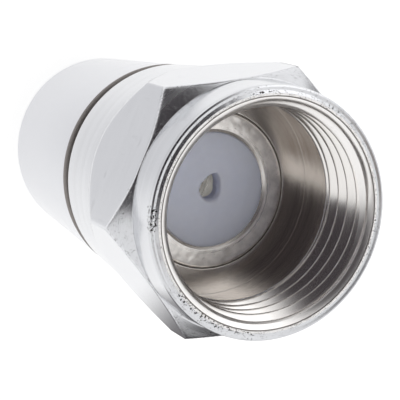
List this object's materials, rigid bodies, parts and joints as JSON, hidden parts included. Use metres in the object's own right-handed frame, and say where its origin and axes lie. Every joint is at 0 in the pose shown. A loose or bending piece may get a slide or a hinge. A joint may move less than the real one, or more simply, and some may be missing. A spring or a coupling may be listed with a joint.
{
  "type": "f connector",
  "caption": "Coaxial F plug with a free-turning hexagonal coupling nut, a flanged hollow post with a guide bead, and a smooth tapered cable sleeve.",
  "frame": {"origin": "centre of the flat rear face, where the cable enters; the connector stands on that face", "axes": "+Z along the plug axis, from the cable end to the mouth of the nut; -Y is square to one flat of the hexagon"},
  "size_m": [0.0128, 0.011, 0.0198],
  "materials": {
    "nickel_nut": "bright nickel plate on turned brass",
    "satin_post": "satin nickel plate on turned brass",
    "white_bead": "moulded translucent white plastic",
    "nickel_sleeve": "smooth satin nickel plate on turned brass",
    "black_rubber": "moulded rubber",
    "ivory_collar": "moulded acetal"
  },
  "bodies": {
    "connector_body": {"post": "satin_post", "guide_bead": "white_bead", "body_sleeve": "nickel_sleeve", "nut_seal": "black_rubber", "grip_collar": "ivory_collar", "cable_seal": "black_rubber"},
    "nut": {"coupling_nut": "nickel_nut"}
  },
  "joints": [
    {"name": "nut_spin", "type": "hinge", "parent": "connector_body", "child": "nut", "pos_m": [0, 0, 0.0124], "axis": [0, 0, 1], "continuous": true}
  ]
}
